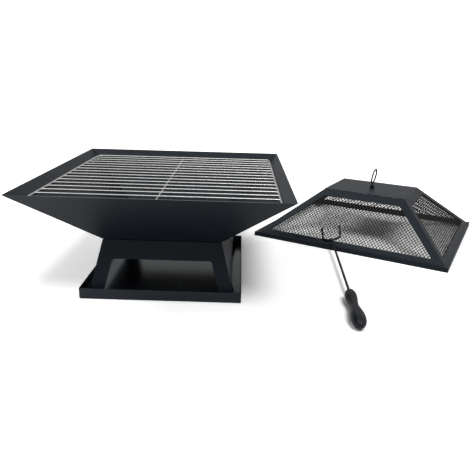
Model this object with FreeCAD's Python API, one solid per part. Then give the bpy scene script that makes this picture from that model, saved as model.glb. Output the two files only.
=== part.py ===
"""Sheet-steel fire pit: ash tray, stand, bowl and wire grate, with its mesh lid and poker beside it.

Millimetres, +Z up. The origin is the centre of the ash tray's underside, on the ground.
"""
import FreeCAD, Part
import math
import os

V = FreeCAD.Vector
UP = V(0, 0, 1)

# ---- driving dimensions ------------------------------------------------------------------------

LENGTH_EXTRA = 41.0          # how much longer than wide the pit and its lid are

# ash tray, on the ground under the stand
TRAY_MARGIN = 12.5           # from the stand's foot to the tray's outer face, each side
TRAY_HEIGHT = 20.0
TRAY_SHEET = 1.0

# stand: four leaning panels, each with a window, standing in the tray
STAND_HEIGHT = 100.0         # from the tray's floor to the bowl's underside
STAND_SPREAD = 25.0          # how far each panel's foot stands out past its top edge
STAND_SHEET = 1.2
STAND_FLANGE = 24.0          # width of the flat flange that carries the bowl
STAND_BAND = 34.0            # height of the solid band above the windows at the front and the back
STAND_SIDE_BAND = 71.0       # and above the lower windows at the sides
STAND_LEG = 26.0             # width of each leg, measured level

# bowl: an inverted pyramid on a flat floor, measured across
BOWL_FLOOR = 214.0
BOWL_RIM = 450.0
BOWL_DEPTH = 105.0
BOWL_SHEET = 1.2
ASH_HOLE_RADIUS = 5.0
ASH_HOLE_PITCH = 45.0
ASH_HOLE_ROWS = 3

# bolts through the bowl's floor and the stand's flanges
BOLT_RADIUS = 3.0
BOLT_HOLE_CLEARANCE = 0.3
BOLT_HEAD_RADIUS = 6.0
BOLT_HEAD_HEIGHT = 3.6
BOLT_SPARE_THREAD = 2.0      # thread left standing out past the nut
NUT_ACROSS_FLATS = 10.0
NUT_HEIGHT = 5.0
WASHER_RADIUS = 6.5
WASHER_THICKNESS = 1.2

# grate: a wire frame with bars welded between its sides, seated on the bowl's sloping walls
GRATE_DROP = 13.5            # from the bowl's rim down to the frame wire's centre
GRATE_FRAME_WIRE = 3.8       # wire diameters
GRATE_BAR_WIRE = 3.2
GRATE_CENTRE_WIRE = 3.8
GRATE_CORNER_RADIUS = 9.0
GRATE_BAR_COUNT = 15         # bars between the frame's own front and back wires
GRATE_WALL_GAP = 0.3
WELD_SINK = 0.4              # how far crossing wires are sunk into each other by the weld

# lid: a low pyramid of four mesh-filled frames under a flat top plate, which sits inside the bowl's rim
LID_RIM_INSET = 15.5         # from the bowl's rim in to the lid's outer edge, each side
LID_FLANGE = 7.5
LID_LIP = 10.5
LID_TOP = 156.0              # the top plate's shorter side
LID_HEIGHT = 115.5
LID_SHEET = 1.0
LID_BOTTOM_RAIL = 11.0       # rail widths, measured up the slope from the flange
LID_TOP_RAIL = 23.0
LID_HIP_RAIL = 17.0
MESH_SHEET = 1.0
MESH_LAP = 7.0               # how far the mesh runs behind the rails
MESH_CELL_WIDTH = 16.0       # two real cells wide and two high, which keeps the pierced sheets light
MESH_CELL_HEIGHT = 20.0
MESH_STRAND = 3.2

# where the lid lies, on the ground beside and behind the pit, a long side to the front
LID_TURN = -28.8             # degrees about +Z
LID_PIT_OVERLAP = 33.0       # how far its front edge reaches under the bowl's back right corner, in plan
LID_CORNER_RUN = 35.5        # along that edge, from the bowl's corner to the lid's own corner

# lifting eye at the middle of the top plate
EYE_STUD_RADIUS = 3.0
EYE_STUD_RISE = 12.0         # from the plate to the start of the ring
EYE_WIRE_RADIUS = 1.7
EYE_RING_RADIUS = 18.5
EYE_OPENING = 38.0           # degrees of the ring left open beside the stud
EYE_LEAN = 7.0               # degrees off upright

# poker: rod, two-pronged fork and moulded handle
POKER_LENGTH = 421.0         # from the fork's foot to the end of the handle
POKER_ROD_RADIUS = 2.1
POKER_HEADING = 3.0          # degrees clockwise from +Y, seen from above
POKER_TANG = 60.0            # length of rod inside the handle
FORK_ALONG_LID = -33.5       # fork's foot, from the middle of the lid's front
FORK_UP_SLOPE = 13.0         # fork's foot, up the slope from the lid's flange
FORK_HALF_WIDTH = 20.5
FORK_LENGTH = 40.0
FORK_CORNER_RADIUS = 11.0
FORK_POINT = 7.0
FORK_BARB = 5.0
FORK_MESH_GAP = 0.6
HANDLE_LENGTH = 134.0
HANDLE_END_RADIUS = 5.0
HANDLE_HEAD_AT = 0.16        # stations along the handle, as shares of its length
HANDLE_WAIST_AT = 0.42
HANDLE_GRIP_AT = 0.77
HANDLE_HEAD_RADIUS = 11.2
HANDLE_WAIST_RADIUS = 8.0
HANDLE_GRIP_RADIUS = 13.3

# ---- derived values ----------------------------------------------------------------------------

# Every level section is a square stretched along one axis. A half width is the shorter one, and
# these are what +X and +Y add to it: the pit is long from front to back, the lid from side to side.
pit_extra = (0.0, LENGTH_EXTRA / 2)
lid_extra = (LENGTH_EXTRA / 2, 0.0)

bowl_bottom = TRAY_SHEET + STAND_HEIGHT
bowl_top = bowl_bottom + BOWL_DEPTH
stand_top_half = BOWL_FLOOR / 2
stand_foot_half = stand_top_half + STAND_SPREAD
tray_half = stand_foot_half + TRAY_MARGIN
rim_half = BOWL_RIM / 2
floor_half = BOWL_FLOOR / 2
bolt_circle = floor_half - STAND_FLANGE / 2

lid_half = rim_half - LID_RIM_INSET
lid_slope_half = lid_half - LID_FLANGE
lid_top_half = LID_TOP / 2
lid_plate_underside = LID_HEIGHT - LID_SHEET


def lid_place():
    """Placement of the lid on the ground, its front left corner tucked behind the bowl's corner."""
    turn = FreeCAD.Rotation(UP, LID_TURN)
    bowl_corner = V(rim_half + pit_extra[0], rim_half + pit_extra[1], 0)
    corner = bowl_corner + turn.multVec(V(-LID_CORNER_RUN, -LID_PIT_OVERLAP, 0))
    to_middle = V(lid_half + lid_extra[0], lid_half + lid_extra[1], 0)
    return FreeCAD.Placement(corner + turn.multVec(to_middle), turn)


# ---- helpers -----------------------------------------------------------------------------------

def polygon_face(points):
    return Part.Face(Part.makePolygon(list(points) + [points[0]]))


def level_ring(half, height, extra):
    """Corners of a level rectangle at a height, anticlockwise from above."""
    x = half + extra[0]
    y = half + extra[1]
    return [V(-x, -y, height), V(x, -y, height), V(x, y, height), V(-x, y, height)]


def frustum(low, low_half, high, high_half, extra):
    """Pyramid cut off level at both ends."""
    foot = level_ring(low_half, low, extra)
    head = level_ring(high_half, high, extra)
    sides = [polygon_face([foot[i], foot[(i + 1) % 4], head[(i + 1) % 4], head[i]]) for i in range(4)]
    shell = Part.Shell([polygon_face(foot), polygon_face(head)] + sides)
    solid = Part.Solid(shell)
    solid.fix(0.001, 0.001, 0.001)
    if solid.Volume < 0:
        solid.reverse()
    return solid


def slab(half, low, high, extra):
    return polygon_face(level_ring(half, low, extra)).extrude(V(0, 0, high - low))


def front_quarter(reach, low, high, extra):
    """Prism over the part of the plan that faces -Y, between the mitres from its two corners."""
    meeting = extra[0] - extra[1]
    corners = [V(0, meeting, low), V(-reach, meeting - reach, low), V(reach, meeting - reach, low)]
    return polygon_face(corners).extrude(V(0, 0, high - low))


def each_side(extra):
    """Each side's name, its turn from the front in degrees, and the extras as seen from that side."""
    swapped = (extra[1], extra[0])
    return (("front", 0, extra), ("right", 90, swapped), ("back", 180, extra), ("left", 270, swapped))


def turned(shape, degrees):
    """A copy of a shape turned about the vertical axis through the origin."""
    copy = shape.copy()
    copy.rotate(V(0, 0, 0), UP, degrees)
    return copy


def hex_nut(base, bore_radius):
    """Hexagon nut standing on a base point, its corners chamfered at both ends."""
    corner = NUT_ACROSS_FLATS / math.sqrt(3)
    turns = [math.radians(60 * i) for i in range(6)]
    body = polygon_face([base + V(corner * math.cos(turn), corner * math.sin(turn), 0) for turn in turns])
    body = body.extrude(V(0, 0, NUT_HEIGHT))
    flat = NUT_ACROSS_FLATS / 2
    wide = flat + NUT_HEIGHT * math.tan(math.radians(60))
    body = body.common(Part.makeCone(flat, wide, NUT_HEIGHT, base))
    body = body.common(Part.makeCone(wide, flat, NUT_HEIGHT, base))
    return body.cut(Part.makeCylinder(bore_radius, NUT_HEIGHT, base))


def ring_washer(outer, inner, thickness, base):
    return Part.makeCylinder(outer, thickness, base).cut(Part.makeCylinder(inner, thickness, base))


def swept_rod(edges, radius):
    """Round rod along a wire of lines and arcs."""
    path = Part.Wire(edges)
    first = edges[0]
    start = first.valueAt(first.FirstParameter)
    along = first.tangentAt(first.FirstParameter)
    profile = Part.Wire(Part.makeCircle(radius, start, along))
    return path.makePipeShell([profile], True, True)


def line(start, end):
    return Part.LineSegment(start, end).toShape()


def arc(start, middle, end):
    return Part.Arc(start, middle, end).toShape()


def save(name, shape):
    """Write one node, checked to be whole and closed."""
    if not shape.isValid() or shape.Volume <= 0:
        raise ValueError(f"{name} isn't a sound solid")
    shape.exportStep(f"parts/{name}.step")
    print(f"{name}: {len(shape.Solids)} solid(s), {shape.Volume / 1000:.1f} cm3")


# ---- ash tray ----------------------------------------------------------------------------------

def build_tray():
    inside = slab(tray_half - TRAY_SHEET, TRAY_SHEET, TRAY_HEIGHT, pit_extra)
    save("ash_tray", slab(tray_half, 0, TRAY_HEIGHT, pit_extra).cut(inside))


# ---- stand -------------------------------------------------------------------------------------

def stand_half(height):
    """Half width of the stand's outer faces at a height."""
    return stand_top_half + STAND_SPREAD * (bowl_bottom - height) / STAND_HEIGHT


def build_stand_panel(band, extra):
    """The panel at the front, with its flange, and with a window under a solid band."""
    foot = TRAY_SHEET
    level_sheet = STAND_SHEET * math.hypot(STAND_HEIGHT, STAND_SPREAD) / STAND_HEIGHT
    walls = frustum(foot, stand_foot_half, bowl_bottom, stand_top_half, extra)
    hollow = frustum(foot, stand_foot_half - level_sheet, bowl_bottom, stand_top_half - level_sheet, extra)
    flange = slab(stand_top_half, bowl_bottom - STAND_SHEET, bowl_bottom, extra)
    flange = flange.cut(slab(stand_top_half - STAND_FLANGE, bowl_bottom - STAND_SHEET, bowl_bottom, extra))
    quarter = front_quarter(2 * stand_foot_half, 0, bowl_top, extra)
    window_top = bowl_bottom - band
    low_half = stand_half(foot) + extra[0] - STAND_LEG
    high_half = stand_half(window_top) + extra[0] - STAND_LEG
    face = -2 * stand_foot_half
    window = polygon_face([V(-low_half, face, foot), V(low_half, face, foot),
                           V(high_half, face, window_top), V(-high_half, face, window_top)])
    window = window.extrude(V(0, 2 * stand_foot_half, 0))
    bolt_hole = Part.makeCylinder(BOLT_RADIUS + BOLT_HOLE_CLEARANCE, 2 * STAND_SHEET,
                                  V(0, -bolt_circle - extra[1], bowl_bottom - 1.5 * STAND_SHEET))
    return walls.cut(hollow).fuse(flange).removeSplitter().common(quarter).cut(window).cut(bolt_hole)


def build_stand():
    for side, degrees, extra in each_side(pit_extra):
        band = STAND_BAND if side in ("front", "back") else STAND_SIDE_BAND
        save(f"stand_panel_{side}", turned(build_stand_panel(band, extra), degrees))


# ---- bowl --------------------------------------------------------------------------------------

bowl_flare = (rim_half - floor_half) / BOWL_DEPTH
bowl_level_sheet = BOWL_SHEET * math.hypot(1, bowl_flare)


def bowl_inner_half(height):
    """Half width between the bowl's inner faces at a height."""
    return floor_half + bowl_flare * (height - bowl_bottom) - bowl_level_sheet


def build_bowl():
    inner_floor = bowl_bottom + BOWL_SHEET
    bowl = frustum(bowl_bottom, floor_half, bowl_top, rim_half, pit_extra)
    hollow = frustum(inner_floor, bowl_inner_half(inner_floor), bowl_top, bowl_inner_half(bowl_top),
                     pit_extra)
    middle = (ASH_HOLE_ROWS - 1) / 2
    holes = []
    for row in range(ASH_HOLE_ROWS):
        for column in range(ASH_HOLE_ROWS):
            place = V((column - middle) * ASH_HOLE_PITCH, (row - middle) * ASH_HOLE_PITCH, bowl_bottom)
            holes.append(Part.makeCylinder(ASH_HOLE_RADIUS, BOWL_SHEET, place))
    for _, degrees, extra in each_side(pit_extra):
        place = V(0, -bolt_circle - extra[1], bowl_bottom)
        hole = Part.makeCylinder(BOLT_RADIUS + BOLT_HOLE_CLEARANCE, BOWL_SHEET, place)
        holes.append(turned(hole, degrees))
    save("bowl", bowl.cut(hollow).cut(Part.makeCompound(holes)))


def build_bowl_bolts():
    head_base = bowl_bottom + BOWL_SHEET
    washer_top = bowl_bottom - STAND_SHEET
    nut_top = washer_top - WASHER_THICKNESS
    end = nut_top - NUT_HEIGHT - BOLT_SPARE_THREAD
    bolts = []
    washers = []
    nuts = []
    for _, degrees, extra in each_side(pit_extra):
        reach = -bolt_circle - extra[1]
        shank = Part.makeCylinder(BOLT_RADIUS, head_base - end, V(0, reach, end))
        head = Part.makeCylinder(BOLT_HEAD_RADIUS, BOLT_HEAD_HEIGHT, V(0, reach, head_base))
        rim = [edge for edge in head.Edges if edge.CenterOfMass.z > head_base + 0.9 * BOLT_HEAD_HEIGHT]
        head = head.makeFillet(0.45 * BOLT_HEAD_HEIGHT, [rim[0]])
        bolts.append(turned(shank.fuse(head).removeSplitter(), degrees))
        washer = ring_washer(WASHER_RADIUS, BOLT_RADIUS + BOLT_HOLE_CLEARANCE, WASHER_THICKNESS,
                             V(0, reach, nut_top))
        washers.append(turned(washer, degrees))
        nut = hex_nut(V(0, reach, nut_top - NUT_HEIGHT), BOLT_RADIUS)
        nuts.append(turned(nut, degrees))
    save("bowl_bolts", Part.makeCompound(bolts))
    save("bowl_washers", Part.makeCompound(washers))
    save("bowl_nuts", Part.makeCompound(nuts))


# ---- grate -------------------------------------------------------------------------------------

def build_grate():
    frame_height = bowl_top - GRATE_DROP
    frame_radius = GRATE_FRAME_WIRE / 2
    bar_radius = GRATE_BAR_WIRE / 2
    centre_radius = GRATE_CENTRE_WIRE / 2
    wall_stand_off = (frame_radius + GRATE_WALL_GAP) * math.hypot(1, bowl_flare)
    half = bowl_inner_half(frame_height) - wall_stand_off
    bend = GRATE_CORNER_RADIUS
    lag = bend * math.sqrt(0.5)
    edges = []
    for _, degrees, extra in each_side(pit_extra):
        spin = FreeCAD.Rotation(UP, degrees)
        side_half = half + extra[0]
        reach = half + extra[1]
        centre = V(side_half - bend, bend - reach, frame_height)
        points = [V(bend - side_half, -reach, frame_height), V(side_half - bend, -reach, frame_height),
                  centre + V(lag, -lag, 0), centre + V(bend, 0, 0)]
        points = [spin.multVec(point) for point in points]
        edges.append(line(points[0], points[1]))
        edges.append(arc(points[1], points[2], points[3]))
    save("grate_frame", swept_rod(edges, frame_radius))

    bar_height = frame_height + frame_radius - bar_radius
    bar_half = half - frame_radius + WELD_SINK
    long_half = half + pit_extra[1]
    pitch = 2 * long_half / (GRATE_BAR_COUNT + 1)
    bars = []
    for row in range(GRATE_BAR_COUNT):
        start = V(-bar_half, (row + 1) * pitch - long_half, bar_height)
        bars.append(Part.makeCylinder(bar_radius, 2 * bar_half, start, V(1, 0, 0)))
    save("grate_bars", Part.makeCompound(bars))

    centre_height = bar_height - bar_radius - centre_radius + WELD_SINK
    centre_half = long_half - pitch + bar_radius
    start = V(0, -centre_half, centre_height)
    save("grate_centre_bar", Part.makeCylinder(centre_radius, 2 * centre_half, start, V(0, 1, 0)))


# ---- lid ---------------------------------------------------------------------------------------

lid_lean = (lid_slope_half - lid_top_half) / (LID_HEIGHT - LID_LIP)
slope_length = math.hypot(lid_slope_half - lid_top_half, LID_HEIGHT - LID_LIP)
slope_up = V(0, lid_slope_half - lid_top_half, LID_HEIGHT - LID_LIP) / slope_length
slope_out = V(0, -slope_up.z, slope_up.y)


def lid_slope_outer_half(height):
    """Half width between the lid's sloping outer faces at a height."""
    return lid_slope_half - lid_lean * (height - LID_LIP)


def on_slope(along, up, out, extra):
    """Point over the lid's front slope: along the front, up the slope, and out from its outer face."""
    return V(along, -lid_slope_half - extra[1], LID_LIP) + slope_up * up + slope_out * out


def slope_trapezoid(bottom, top, hip, out, extra):
    """Corners of a trapezoid on the front slope, set in from its foot, its head and its hips."""
    narrowing = (lid_slope_half - lid_top_half) / slope_length
    hip_step = hip * math.hypot(1, narrowing)
    low_half = lid_slope_half + extra[0] - narrowing * bottom - hip_step
    high_half = lid_slope_half + extra[0] - narrowing * (slope_length - top) - hip_step
    head = slope_length - top
    corners = ((-low_half, bottom), (low_half, bottom), (high_half, head), (-high_half, head))
    return [on_slope(along, up, out, extra) for along, up in corners]


def build_lid_frame(extra):
    """The frame at the front: its rails, flange and lip, mitred at both ends."""
    level_sheet = LID_SHEET * math.hypot(1, lid_lean)
    low = LID_LIP - LID_SHEET
    high = lid_plate_underside
    low_half = lid_slope_outer_half(low)
    high_half = lid_slope_outer_half(high)
    outer = frustum(low, low_half, high, high_half, extra)
    inner = frustum(low, low_half - level_sheet, high, high_half - level_sheet, extra)
    flange = slab(lid_half, low, LID_LIP, extra).cut(slab(low_half - level_sheet / 2, low, LID_LIP, extra))
    lip = slab(lid_half, 0, LID_LIP, extra).cut(slab(lid_half - LID_SHEET, 0, LID_LIP, extra))
    body = outer.fuse([flange, lip]).cut(inner).removeSplitter()
    quarter = front_quarter(2 * lid_half, 0, LID_HEIGHT, extra)
    window = slope_trapezoid(LID_BOTTOM_RAIL, LID_TOP_RAIL, LID_HIP_RAIL, 2 * LID_SHEET, extra)
    window = polygon_face(window).extrude(slope_out * (-4 * LID_SHEET))
    return body.common(quarter).cut(window)


def build_lid_mesh(extra):
    """Flattened expanded metal behind the front's rails: one sheet, pierced by rows of diamonds."""
    bottom = LID_BOTTOM_RAIL - MESH_LAP
    top = LID_TOP_RAIL - MESH_LAP
    outline = slope_trapezoid(bottom, top, LID_HIP_RAIL - MESH_LAP, -LID_SHEET, extra)
    foot_half = outline[1].x
    head_half = outline[2].x
    head_up = slope_length - top
    half_width = MESH_CELL_WIDTH / 2
    half_height = MESH_CELL_HEIGHT / 2
    inset = MESH_STRAND / 2 * math.hypot(half_width, half_height) / (half_width * half_height)
    hole_width = half_width * (1 - inset)
    hole_height = half_height * (1 - inset)
    narrowing = (foot_half - head_half) / (head_up - bottom)
    rows = math.floor((head_up - bottom - 2 * MESH_STRAND) / half_height) - 1
    middle_up = (bottom + head_up) / 2
    holes = []
    for row in range(rows):
        up = middle_up + (row - (rows - 1) / 2) * half_height
        reach = foot_half - narrowing * (up + hole_height - bottom) - MESH_STRAND - hole_width
        offset = half_width * (row % 2)
        columns = math.floor((reach - offset) / MESH_CELL_WIDTH)
        lowest = -math.floor((reach + offset) / MESH_CELL_WIDTH)
        for column in range(lowest, columns + 1):
            along = column * MESH_CELL_WIDTH + offset
            ways = ((-hole_width, 0), (0, hole_height), (hole_width, 0), (0, -hole_height))
            corners = [on_slope(along + across, up + rise, -LID_SHEET, extra) for across, rise in ways]
            holes.append(Part.makePolygon(corners + [corners[0]]))
    return Part.Face([Part.makePolygon(outline + [outline[0]])] + holes).extrude(slope_out * (-MESH_SHEET))


def build_lid_sides(place):
    for side, degrees, extra in each_side(lid_extra):
        for name, shape in (("frame", build_lid_frame(extra)), ("mesh", build_lid_mesh(extra))):
            shape = turned(shape, degrees)
            shape.Placement = place.multiply(shape.Placement)
            save(f"lid_{name}_{side}", shape)


def build_lid_top(place):
    half = lid_slope_outer_half(lid_plate_underside)
    plate = slab(half, lid_plate_underside, LID_HEIGHT, lid_extra)
    hole = Part.makeCylinder(EYE_STUD_RADIUS + BOLT_HOLE_CLEARANCE, LID_SHEET, V(0, 0, lid_plate_underside))
    plate = plate.cut(hole)
    plate.Placement = place
    save("lid_top_plate", plate)


# ---- lifting eye -------------------------------------------------------------------------------

def build_lifting_eye(place):
    washer_top = LID_HEIGHT + WASHER_THICKNESS
    lock_nut_base = lid_plate_underside - NUT_HEIGHT
    stud_foot = lock_nut_base - BOLT_SPARE_THREAD
    stud_top = LID_HEIGHT + EYE_STUD_RISE
    stud = Part.makeCylinder(EYE_STUD_RADIUS, stud_top - stud_foot, V(0, 0, stud_foot))
    dome = Part.makeSphere(EYE_STUD_RADIUS, V(0, 0, stud_top))

    def on_ring(degrees):
        swing = math.radians(degrees)
        return V(0, -EYE_RING_RADIUS * math.sin(swing), stud_top + EYE_RING_RADIUS * (1 - math.cos(swing)))

    end = 360 - EYE_OPENING
    ring = swept_rod([arc(on_ring(0), on_ring(end / 2), on_ring(end))], EYE_WIRE_RADIUS)
    ring.rotate(V(0, 0, stud_top), V(0, 1, 0), EYE_LEAN)
    eye = stud.fuse([dome, ring]).removeSplitter()
    washer_bore = EYE_STUD_RADIUS + BOLT_HOLE_CLEARANCE
    washer = ring_washer(WASHER_RADIUS, washer_bore, WASHER_THICKNESS, V(0, 0, LID_HEIGHT))
    nut = hex_nut(V(0, 0, washer_top), EYE_STUD_RADIUS)
    lock_nut = hex_nut(V(0, 0, lock_nut_base), EYE_STUD_RADIUS)
    pieces = {"lid_eye": eye, "lid_eye_washer": washer, "lid_eye_nut": nut, "lid_eye_lock_nut": lock_nut}
    for name, shape in pieces.items():
        shape.Placement = place.multiply(shape.Placement)
        save(name, shape)


# ---- poker -------------------------------------------------------------------------------------

def poker_axes(place):
    """The fork's foot, the rod's direction towards it, and the fork's own length and width directions.

    The fork lies flat on the lid's front slope and the handle's grip rests on the ground.
    """
    stand_off = POKER_ROD_RADIUS + FORK_MESH_GAP
    foot = place.multVec(on_slope(FORK_ALONG_LID, FORK_UP_SLOPE, stand_off, lid_extra))
    normal = place.Rotation.multVec(slope_out)
    heading = V(math.sin(math.radians(POKER_HEADING)), math.cos(math.radians(POKER_HEADING)), 0)
    grip_reach = POKER_LENGTH - HANDLE_LENGTH * (1 - HANDLE_GRIP_AT)
    rise = math.asin(foot.z / math.hypot(grip_reach, HANDLE_GRIP_RADIUS))
    rise -= math.atan2(HANDLE_GRIP_RADIUS, grip_reach)
    rod = heading * math.cos(rise) + UP * math.sin(rise)
    climb = math.atan2(-normal.dot(heading), normal.z)
    fork = heading * math.cos(climb) + UP * math.sin(climb)
    return foot, rod, fork, fork.cross(normal)


def build_poker(place):
    foot, rod_axis, fork_axis, fork_side = poker_axes(place)
    bend = FORK_CORNER_RADIUS
    lag = bend * (1 - math.sqrt(0.5))
    shoulder = FORK_LENGTH - FORK_POINT

    def on_fork(side, up):
        return foot + fork_side * side + fork_axis * up

    edges = []
    edges.append(line(on_fork(-FORK_HALF_WIDTH, shoulder), on_fork(-FORK_HALF_WIDTH, bend)))
    edges.append(arc(on_fork(-FORK_HALF_WIDTH, bend), on_fork(lag - FORK_HALF_WIDTH, lag),
                     on_fork(bend - FORK_HALF_WIDTH, 0)))
    edges.append(line(on_fork(bend - FORK_HALF_WIDTH, 0), on_fork(FORK_HALF_WIDTH - bend, 0)))
    edges.append(arc(on_fork(FORK_HALF_WIDTH - bend, 0), on_fork(FORK_HALF_WIDTH - lag, lag),
                     on_fork(FORK_HALF_WIDTH, bend)))
    edges.append(line(on_fork(FORK_HALF_WIDTH, bend), on_fork(FORK_HALF_WIDTH, shoulder)))
    fork = swept_rod(edges, POKER_ROD_RADIUS)
    points = []
    for side in (-FORK_HALF_WIDTH, FORK_HALF_WIDTH):
        root = on_fork(side, shoulder)
        tip = Part.makeCone(POKER_ROD_RADIUS, 0, FORK_POINT, root, fork_axis)
        barb_length = FORK_BARB + POKER_ROD_RADIUS
        barb = Part.makeCone(POKER_ROD_RADIUS, 0, barb_length, root, (fork_side + fork_axis) * -1)
        points += [tip, barb]
    fork = fork.fuse(points).removeSplitter()
    save("poker_fork", fork)

    tang_end = POKER_LENGTH - HANDLE_LENGTH + POKER_TANG
    rod = Part.makeCylinder(POKER_ROD_RADIUS, tang_end, foot, rod_axis * -1)
    save("poker_rod", rod.cut(fork))
    build_poker_handle(foot - rod_axis * (POKER_LENGTH - HANDLE_LENGTH), rod_axis * -1)


def bezier(points):
    curve = Part.BezierCurve()
    curve.setPoles(points)
    return curve.toShape()


def build_poker_handle(start, axis):
    """Moulded handle turned about the rod: a rounded head, a waist and a fuller grip."""
    head = HANDLE_LENGTH * HANDLE_HEAD_AT
    waist = HANDLE_LENGTH * HANDLE_WAIST_AT
    grip = HANDLE_LENGTH * HANDLE_GRIP_AT
    end = HANDLE_LENGTH
    pull = 0.42
    cap = 0.55
    shoulder = HANDLE_END_RADIUS + cap * (HANDLE_HEAD_RADIUS - HANDLE_END_RADIUS)
    runs = [
        ((HANDLE_END_RADIUS, 0), (shoulder, 0),
         (HANDLE_HEAD_RADIUS, head * (1 - cap)), (HANDLE_HEAD_RADIUS, head)),
        ((HANDLE_HEAD_RADIUS, head), (HANDLE_HEAD_RADIUS, head + pull * (waist - head)),
         (HANDLE_WAIST_RADIUS, waist - pull * (waist - head)), (HANDLE_WAIST_RADIUS, waist)),
        ((HANDLE_WAIST_RADIUS, waist), (HANDLE_WAIST_RADIUS, waist + pull * (grip - waist)),
         (HANDLE_GRIP_RADIUS, grip - pull * (grip - waist)), (HANDLE_GRIP_RADIUS, grip)),
        ((HANDLE_GRIP_RADIUS, grip), (HANDLE_GRIP_RADIUS, grip + cap * (end - grip)),
         (cap * HANDLE_GRIP_RADIUS, end), (0, end)),
    ]
    profile = [bezier([V(radius, 0, along) for radius, along in run]) for run in runs]
    profile += [line(V(0, 0, end), V(0, 0, 0)), line(V(0, 0, 0), V(HANDLE_END_RADIUS, 0, 0))]
    handle = Part.Face(Part.Wire(profile)).revolve(V(0, 0, 0), UP, 360)
    handle = handle.cut(Part.makeCylinder(POKER_ROD_RADIUS, POKER_TANG))
    handle.Placement = FreeCAD.Placement(start, FreeCAD.Rotation(UP, axis))
    save("poker_handle", handle)


def main():
    os.makedirs("parts", exist_ok=True)
    place = lid_place()
    build_tray()
    build_stand()
    build_bowl()
    build_bowl_bolts()
    build_grate()
    build_lid_sides(place)
    build_lid_top(place)
    build_lifting_eye(place)
    build_poker(place)


main()
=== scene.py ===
import logging
import math
from collections.abc import Callable, Iterable, Iterator, Sequence
from contextlib import contextmanager
from dataclasses import dataclass, replace
from enum import Enum

import bmesh
import bpy
from bpy.types import Material, Node, NodeSocket, NodeTree, Object, Scene, World
from mathutils import Matrix, Vector


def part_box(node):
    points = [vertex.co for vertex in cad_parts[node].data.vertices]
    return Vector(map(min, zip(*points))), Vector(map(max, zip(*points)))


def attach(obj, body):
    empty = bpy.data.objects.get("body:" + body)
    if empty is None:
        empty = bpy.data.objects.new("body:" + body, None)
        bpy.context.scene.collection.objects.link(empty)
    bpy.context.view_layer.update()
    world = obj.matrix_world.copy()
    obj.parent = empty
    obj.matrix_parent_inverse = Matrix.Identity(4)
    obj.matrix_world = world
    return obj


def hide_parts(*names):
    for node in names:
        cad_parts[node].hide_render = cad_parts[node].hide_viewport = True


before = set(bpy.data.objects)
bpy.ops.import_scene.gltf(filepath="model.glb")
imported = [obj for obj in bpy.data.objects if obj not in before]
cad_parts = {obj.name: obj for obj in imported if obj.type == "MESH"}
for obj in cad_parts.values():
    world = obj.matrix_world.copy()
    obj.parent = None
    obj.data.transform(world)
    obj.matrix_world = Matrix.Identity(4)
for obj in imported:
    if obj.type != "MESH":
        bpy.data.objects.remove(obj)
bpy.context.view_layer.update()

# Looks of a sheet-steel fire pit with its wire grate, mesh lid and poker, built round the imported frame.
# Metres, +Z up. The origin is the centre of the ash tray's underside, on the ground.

LOG = logging.getLogger("fire_pit")

Point = tuple[float, float, float]
Colour = tuple[float, float, float, float]
Extra = tuple[float, float]
Test = Callable[[Vector, Vector], bool]

# Points closer than NEAR are one, and a direction lies along an axis from a share of MOSTLY.
# It slants when its share along every axis is over SLANTED.
NEAR = 1e-5
MOSTLY = 0.9
SLANTED = 0.3
# In degrees: edges sharper than EDGE_ANGLE are rounded, and faces that meet at less than SMOOTH_ANGLE are
# shaded as one. The grate's bars, bent wires with the fork's spikes, and the handle have their own limits.
EDGE_ANGLE = 35.0
SMOOTH_ANGLE = 32.0
BAR_ANGLE = 40.0
WIRE_ANGLE = 50.0
HANDLE_ANGLE = 60.0
DRILL_LENGTH = 0.01
HEXAGON = 6

# Every level section is a square stretched along one axis. A half width is the shorter one, and these
# are what X and Y add to it: the pit is long from front to back, the lid from side to side.
PIT_EXTRA: Extra = (0.0, 0.0205)
LID_EXTRA: Extra = (0.0205, 0.0)


class Body(Enum):
    """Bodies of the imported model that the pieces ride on."""

    TRAY = "tray"
    BOWL = "fire_bowl"
    GRATE = "grate"
    LID = "lid"
    POKER = "poker"


class Slot(Enum):
    """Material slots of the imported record."""

    PAINT = "black_paint"
    CHROME = "chrome_wire"
    ZINC = "zinc_steel"
    MESH = "dark_mesh"
    STEEL = "dark_steel"
    PLASTIC = "black_plastic"


class Element(Enum):
    """Kinds of mesh element that can be picked in edit mode."""

    VERT = "VERT"
    EDGE = "EDGE"
    FACE = "FACE"


# ---- modelling helpers ----

def activate(piece: Object) -> None:
    """Make one object the only selected one, and the active one."""
    bpy.ops.object.select_all(action="DESELECT")
    piece.select_set(True)
    bpy.context.view_layer.objects.active = piece


def settled(piece: Object) -> Object:
    """Settle a piece's place into its mesh, which leaves it at the origin, unturned and unscaled."""
    activate(piece)
    bpy.ops.object.transform_apply(location=True, rotation=True, scale=True)
    return piece


def named(piece: Object, name: str) -> Object:
    """Give a piece and its mesh a name."""
    piece.name = name
    piece.data.name = name
    return piece


def added(name: str) -> Object:
    """Name and settle the primitive that was just added."""
    return settled(named(bpy.context.object, name))


@contextmanager
def editing(piece: Object) -> Iterator[None]:
    """Open a mesh in edit mode for the length of a with block."""
    activate(piece)
    bpy.ops.object.mode_set(mode="EDIT")
    yield
    bpy.ops.object.mode_set(mode="OBJECT")


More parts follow.
